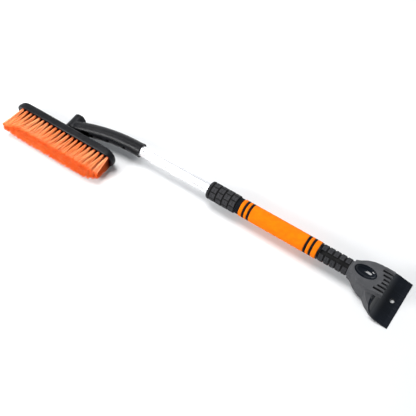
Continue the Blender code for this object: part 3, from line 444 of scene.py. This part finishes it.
def lathe(node, radius_at, stations, bore, segments=96, axis=None):
    """Turn a node again along X: radius_at(x, angle) outside, and its bore inside.

    The bore is one radius, or the (x, radius) steps of a shaped bore from low to high x.
    The angle is 0 at the top and grows towards -Y. Each point keeps how deep it lies
    below the piece's skin, for the shade that the material paints into grooves.
    """
    across, height = axis or axis_of(node)
    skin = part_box(node)[1].z - height
    angles = [2 * math.pi * index / segments for index in range(segments)]
    work = bmesh.new()
    depth_shade = work.verts.layers.float.new("depth_shade")

    def circle(x, radius):
        verts = []
        for angle in angles:
            reach = radius(x, angle)
            vert = work.verts.new((x, across - reach * math.sin(angle),
                                   height + reach * math.cos(angle)))
            # Depth share below the skin, which the material turns into painted shade.
            vert[depth_shade] = min(1.0, max(0.0, skin - reach) / HOLLOW_DEPTH)
            verts.append(vert)
        return verts

    rings = [circle(x, radius_at) for x in stations]
    steps = bore if isinstance(bore, list) else [(stations[0], bore), (stations[-1], bore)]
    rings += [circle(x, lambda *_, reach=reach: reach) for x, reach in reversed(steps)]
    for first, second in zip(rings, rings[1:] + rings[:1]):
        for index in range(segments):
            after = (index + 1) % segments
            work.faces.new((first[index], first[after], second[after], second[index]))
    bmesh.ops.recalc_face_normals(work, faces=work.faces)
    mesh = bpy.data.meshes.new(f"{node}_detail")
    work.to_mesh(mesh)
    work.free()
    return mesh


def along(low, high, count):
    """Evenly spaced places, ends included."""
    return [low + (high - low) * index / (count - 1) for index in range(count)]


def end_round(x, low, high, radius):
    """How far a rounded end draws the surface in, for a corner of the given radius."""
    edge = min(x - low, high - x)
    if edge >= radius:
        return 0.0
    return radius - math.sqrt(max(0.0, radius ** 2 - (radius - edge) ** 2))


def dense_ends(low, high, corner, count):
    """Places along a turned piece, closer together at its two rounded ends."""
    steps = [corner * (1 - math.cos(math.pi / 2 * index / 4)) for index in range(4)]
    middle = along(low + corner, high - corner, count)
    return [low + step for step in steps] + middle + [high - step for step in reversed(steps)]


# ---- turned pieces ---------------------------------------------------------
def ring_detail(node, bore, corner, material=None):
    """A plain ring with rounded corners."""
    low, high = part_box(node)
    radius = (high.z - low.z) / 2

    def radius_at(x, _):
        return radius - end_round(x, low.x, high.x, corner)

    piece = stand_in(lathe(node, radius_at, dense_ends(low.x, high.x, corner, 6), bore), node)
    if material:
        piece.data.materials[0] = material


def angle_from(angle, centre):
    """Signed difference of two angles."""
    return math.remainder(angle - centre, 2 * math.pi)


def inner_tube_detail():
    """Drawn tube with two rounded grooves along it."""
    node = "inner_tube"
    low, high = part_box(node)
    radius = (high.z - low.z) / 2
    groove_low = ARM_MOUTH_X + GROOVE_START
    groove_high = high.x - 0.020

    def radius_at(x, angle):
        away = min(abs(angle_from(angle, GROOVE_ANGLE)),
                   abs(angle_from(angle, GROOVE_ANGLE + math.pi)))
        across = away * radius / GROOVE_HALF_WIDTH
        runout = min(1.0, max(0.0, (x - groove_low) / GROOVE_RUNOUT),
                     max(0.0, (groove_high - x) / GROOVE_RUNOUT))
        depth = GROOVE_DEPTH * max(0.0, 1.0 - across ** 2) * runout
        return radius - depth - end_round(x, low.x, high.x, TUBE_EDGE)

    stations = sorted(dense_ends(low.x, high.x, TUBE_EDGE, 10)
                      + along(groove_low, groove_low + GROOVE_RUNOUT, 4)
                      + along(groove_high - GROOVE_RUNOUT, groove_high, 4))
    stand_in(lathe(node, radius_at, stations, radius - TUBE_WALL, segments=240), node)


def dip(distance, half_width):
    """Depth share of a round-bottomed groove at a distance from its middle."""
    return max(0.0, 1.0 - (distance / half_width) ** 2) if distance < half_width else 0.0


def collar_detail():
    """Ribbed collar: deep grooves between ribs, each rib split into staggered blocks."""
    node = "lock_collar"
    low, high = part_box(node)
    radius = (high.z - low.z) / 2
    pitch = (high.x - low.x - COLLAR_NOSE) / COLLAR_RIBS

    def radius_at(x, angle):
        nose = end_round(x, low.x, high.x + 0.01, COLLAR_NOSE_ROUND)
        tail = end_round(x, low.x - 0.01, high.x, COLLAR_TAIL_ROUND)
        if x - low.x < COLLAR_NOSE - COLLAR_GROOVE:
            return radius - nose - 0.0005 * dip(abs(x - low.x - COLLAR_LINE_X), 0.0008)
        place = (x - low.x - COLLAR_NOSE) / pitch
        from_groove = abs(math.remainder(place, 1.0)) * pitch
        groove = COLLAR_GROOVE_DEPTH * dip(from_groove, COLLAR_GROOVE)
        from_split = abs(math.remainder(place - 0.5, 1.0)) * pitch
        split = COLLAR_SPLIT_DEPTH * dip(from_split, 0.0007)
        row = math.floor(place)
        around = math.remainder(angle / (2 * math.pi) * COLLAR_BLOCKS + 0.5 * (row % 2), 1.0)
        from_gap = abs(around) * 2 * math.pi * radius / COLLAR_BLOCKS
        gap = COLLAR_GAP_DEPTH * dip(from_gap, 0.0015)
        return radius - nose - tail - max(groove, split, gap)

    stations = sorted(set(dense_ends(low.x, high.x, COLLAR_NOSE_ROUND, 2)
                          + along(low.x + 0.0044, high.x - 0.0004, 170)))
    bore = [(low.x + place, reach) for place, reach in COLLAR_BORE]
    bore.append((high.x, COLLAR_BORE[-1][1]))
    stand_in(lathe(node, radius_at, stations, bore, segments=192), node, 50)


def neck_detail():
    """Ribbed neck with a fine line round each rib and a deep channel along the top."""
    node = "neck_grip"
    low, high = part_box(node)
    across, height = axis_of("grip_end_ring")
    radius = high.z - height
    pitch = (high.x - low.x) / NECK_RIBS

    def rib(x):
        place = (x - low.x) % pitch
        rise = min(1.0, max(0.0, (place - 0.0020) / 0.0014),
                   max(0.0, (pitch - place) / 0.0012))
        line = NECK_LINE_DEPTH * max(0.0, 1.0 - abs(place - pitch * 0.58) / 0.0006)
        return NECK_VALLEY * (1.0 - math.sin(math.pi / 2 * rise)) + line

    def radius_at(x, angle):
        reach = radius - rib(x) - end_round(x, low.x, high.x, 0.0006)
        sideways = reach * math.sin(angle_from(angle, CHANNEL_ANGLE))
        on_top = math.cos(angle - CHANNEL_ANGLE) > 0
        in_channel = on_top and abs(sideways) < CHANNEL_HALF_WIDTH
        if not in_channel or x < low.x + CHANNEL_START:
            return reach
        wall = (CHANNEL_HALF_WIDTH - abs(sideways)) / CHANNEL_WALL
        floor = CHANNEL_FLOOR_R / math.cos(angle_from(angle, CHANNEL_ANGLE))
        return reach + (min(reach, floor) - reach) * min(1.0, wall)

    mesh = lathe(node, radius_at, along(low.x, high.x, 130), SLEEVE_BORE_R, segments=200,
                 axis=(across, height))
    stand_in(mesh, node, 50)


def foam_detail():
    """Foam sleeve: soft ends, squeezed under its bands, with a hand-worn uneven skin."""
    node = "foam_grip"
    low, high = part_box(node)
    radius = (high.z - low.z) / 2
    bands = [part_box(f"grip_band_{index}") for index in range(1, BAND_COUNT + 1)]
    centres = [(band[0].x + band[1].x) / 2 for band in bands]
    half_band = (bands[0][1].x - bands[0][0].x) / 2 + GAP
    floor = (bands[0][1].z - bands[0][0].z) / 2 - FOAM_SQUEEZE

    def radius_at(x, angle):
        away = min(abs(x - centre) for centre in centres)
        if away < half_band:
            return floor
        lip = 0.0007 * math.exp(-((away - half_band) / 0.0008) ** 2)
        around = (math.sin(angle), math.cos(angle))
        skin = noise.noise(Vector((x * 260, around[0] * 4.6, around[1] * 4.6))) * 0.00012
        pits = noise.noise(Vector((x * 1500, around[0] * 26, around[1] * 26))) * 0.00007
        return radius - lip - end_round(x, low.x, high.x, FOAM_ROUND) + skin + pits

    stations = (dense_ends(low.x, high.x, FOAM_ROUND, 2)
                + along(low.x + 0.0018, high.x - 0.0018, 190))
    for centre in centres:
        for side in (-1, 1):
            edge = centre + side * half_band
            stations += [edge - 0.00005, edge + 0.00005, edge + side * 0.0004]
    mesh = lathe(node, radius_at, sorted(set(stations)), SLEEVE_BORE_R, segments=112)
    piece = stand_in(mesh, node, 50)


# ---- brush -----------------------------------------------------------------
def filament_paths(row, tuft, rng):
    """Root, tip and bow of each filament of a tuft, as arrays."""
    block_low, block_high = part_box("brush_block")
    tip_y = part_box("bristle_row_3")[0].y
    middle = (block_low + block_high) / 2
    along_bar = (tuft - (TUFTS - 1) / 2) * TUFT_PITCH
    up = (row - (ROWS - 1) / 2) * ROW_PITCH
    share = along_bar / TUFT_HALF_LENGTH
    flare = (LEFT_FLARE if share < 0 else RIGHT_FLARE) * share ** 3
    past_start = (abs(share) - END_START) / (END_SHARE - END_START)
    drawn_in = max(0.0, past_start) ** DRAWN_IN_POWER
    spread = (ROW_SPREAD if up > 0 else LOW_SPREAD) * (1 - drawn_in) + END_SPREAD * drawn_in
    cut_back = (RIGHT_CUT_BACK if share > 0 else LEFT_CUT_BACK) * drawn_in
    turns = rng.uniform(0, 2 * math.pi, FILAMENTS)
    reach = TUFT_R * np.sqrt(rng.uniform(0, 1, FILAMENTS))
    from_x = reach * np.cos(turns)
    from_z = reach * np.sin(turns)
    root = np.stack([TUFT_CENTRE_X + along_bar + from_x,
                     np.full(FILAMENTS, block_low.y - ROOT_GAP),
                     middle.z + up + from_z], axis=1)
    wander = rng.normal(0, WANDER, (FILAMENTS, 2))
    spread_z = TIP_SPREAD_Z - TIP_SPREAD_Z_LOSS * drawn_in
    tip = np.stack([TUFT_CENTRE_X + along_bar + flare + from_x * TIP_SPREAD_X + wander[:, 0],
                    tip_y + TIP_INSET + cut_back + rng.uniform(0.0, TIP_RAGGED, FILAMENTS),
                    middle.z + up * spread + from_z * spread_z + wander[:, 1]], axis=1)
    tip[:, 2] = np.maximum(tip[:, 2], FLOOR_CLEARANCE + rng.uniform(0, 0.0015, FILAMENTS))
    bow = rng.normal(0, BOW, (FILAMENTS, 3))
    return root, tip, bow


def filament_mesh(name, row):
    """One row's filaments, each a closed three-sided strand that tapers a little to its tip.

    Points keep their filament's shade of orange, their place along it, and how much
    painted shade they get from lying among the rows in front.
    """
    rng = np.random.default_rng(100 + row)
    corners = np.array([[math.cos(a), math.sin(a)] for a in (0.5, 2.594, 4.689)])
    verts, faces, strand, place, row_shade = [], [], [], [], []
    behind = 0.0 if row == ROWS - 1 else 1.0
    for tuft in range(TUFTS):
        root, tip, bow = filament_paths(row, tuft, rng)
        clump = rng.uniform(0, 1, CLUMPS)
        shade = clump[rng.integers(0, CLUMPS, FILAMENTS)]
        shade = np.clip(shade + rng.normal(0, SHADE_SCATTER, FILAMENTS), 0, 1)
        for index in range(FILAMENTS):
            start = len(verts)
            for share in FILAMENT_STATIONS:
                ease = share ** TUFT_EASE
                centre = root[index] * (1 - ease) + tip[index] * ease
                centre[1] = root[index][1] * (1 - share) + tip[index][1] * share
                centre = centre + bow[index] * math.sin(math.pi * share)
                radius = FILAMENT_R * (1.0 - STRAND_TAPER * share)
                for corner in corners:
                    verts.append((centre[0] + corner[0] * radius, centre[1],
                                  centre[2] + corner[1] * radius))
                    strand.append(shade[index])
                    place.append(share)
                    # Painted shade among the rows: 1 at the root of a lower row's filament, fading
                    # out along it; 0 for the top row.
                    row_shade.append(behind * max(0.0, 1.0 - share / ROW_SHADE_SHARE))
            last = len(FILAMENT_STATIONS) - 1
            for ring in range(last):
                base = start + 3 * ring
                for side in range(3):
                    after = (side + 1) % 3
                    faces.append((base + side, base + after, base + 3 + after, base + 3 + side))
            faces.append((start + 2, start + 1, start))
            faces.append((start + 3 * last, start + 3 * last + 1, start + 3 * last + 2))
    mesh = bpy.data.meshes.new(name)
    mesh.from_pydata(verts, [], faces)
    for label, values in (("strand", strand), ("along", place), ("row_shade", row_shade)):
        layer = mesh.attributes.new(label, "FLOAT", "POINT")
        layer.data.foreach_set("value", np.array(values, np.float32))
    work = bmesh.new()
    work.from_mesh(mesh)
    bmesh.ops.recalc_face_normals(work, faces=work.faces)
    work.to_mesh(mesh)
    work.free()
    return mesh


def brush_detail():
    """Filaments in place of the plain comb rows."""
    for row in range(ROWS):
        node = f"bristle_row_{row + 1}"
        stand_in(filament_mesh(f"{node}_detail", row), node, 60)


# ---- stage -----------------------------------------------------------------
def floor_and_lights():
    """Plain pale floor, the soft lights and the studio's sky."""
    work = bmesh.new()
    bmesh.ops.create_grid(work, x_segments=8, y_segments=8, size=FLOOR_SIZE)
    mesh = bpy.data.meshes.new("floor")
    work.to_mesh(mesh)
    work.free()
    pale = Look("floor_pale", (0.80, 0.805, 0.81), 0.9, 0.0, Specular_IOR_Level=0.1)
    mesh.materials.append(pale.material)
    floor = bpy.data.objects.new("floor", mesh)
    bpy.context.scene.collection.objects.link(floor)
    bpy.context.scene.world = studio_sky()
    for light in LIGHTS:
        soft_light(*light)


def studio_sky():
    """White horizon all round under a dim ceiling, as in a small studio."""
    world = bpy.data.worlds.new("studio")
    world.use_nodes = True
    tree = world.node_tree
    place = tree.nodes.new("ShaderNodeTexCoord")
    split = tree.nodes.new("ShaderNodeSeparateXYZ")
    fall = tree.nodes.new("ShaderNodeMapRange")
    tree.links.new(place.outputs["Generated"], split.inputs["Vector"])
    side = tree.nodes.new("ShaderNodeMapRange")
    both = tree.nodes.new("ShaderNodeMath")
    both.operation = "MULTIPLY"
    tree.links.new(split.outputs["Z"], fall.inputs["Value"])
    tree.links.new(split.outputs["Y"], side.inputs["Value"])
    for node, numbers in ((fall, (0.15, 0.65, 1.0, 0.22)), (side, (-0.6, 0.1, 0.35, 1.0))):
        for index, number in enumerate(numbers, 1):
            node.inputs[index].default_value = number
        tree.links.new(node.outputs["Result"], both.inputs[0 if node is fall else 1])
    sky = tree.nodes["Background"]
    sky.inputs["Color"].default_value = (0.90, 0.945, 1.0, 1.0)
    tree.links.new(both.outputs["Value"], sky.inputs["Strength"])
    return world


def soft_light(name, place, target, size, power):
    """A rectangular soft light at a place, facing a target."""
    data = bpy.data.lights.new(name, "AREA")
    data.shape = "RECTANGLE"
    data.size, data.size_y = size
    data.energy = power
    lamp = bpy.data.objects.new(name, data)
    lamp.location = place
    aim = Vector(target) - Vector(place)
    lamp.rotation_euler = aim.to_track_quat("-Z", "Y").to_euler()
    bpy.context.scene.collection.objects.link(lamp)


def camera():
    """Camera at the viewing angle, looking down at the handle."""
    level = math.cos(CAMERA_ELEVATION)
    back = Vector((math.sin(CAMERA_AZIMUTH) * level, -math.cos(CAMERA_AZIMUTH) * level,
                   math.sin(CAMERA_ELEVATION)))
    data = bpy.data.cameras.new("camera")
    data.sensor_width = 36.0
    data.lens = CAMERA_LENS
    data.clip_end = 20.0
    view = bpy.data.objects.new("camera", data)
    view.location = Vector(CAMERA_TARGET) + back * CAMERA_DISTANCE
    view.rotation_euler = (-back).to_track_quat("-Z", "Y").to_euler()
    bpy.context.scene.collection.objects.link(view)
    bpy.context.scene.camera = view
    bpy.context.scene.view_settings.view_transform = "Standard"


def carried_nodes():
    """Better materials on the nodes that stay as they are."""
    for name, node in frame["nodes"].items():
        node.data.materials.clear()
        node.data.materials.append(SLOT_LOOKS[NODE_SLOTS[name]])


camera()
floor_and_lights()
carried_nodes()
inner_tube_detail()
collar_detail()
ring_detail("collar_stop_ring", SLEEVE_BORE_R, 0.0009, BAND)
foam_detail()
for number in range(1, BAND_COUNT + 1):
    ring_detail(f"grip_band_{number}", BAND_BORE_R, 0.0003, BAND)
ring_detail("grip_end_ring", SLEEVE_BORE_R, 0.0005)
neck_detail()
for moulded_node in MOULDED_NODES:
    rounded(*moulded_node)
brush_detail()
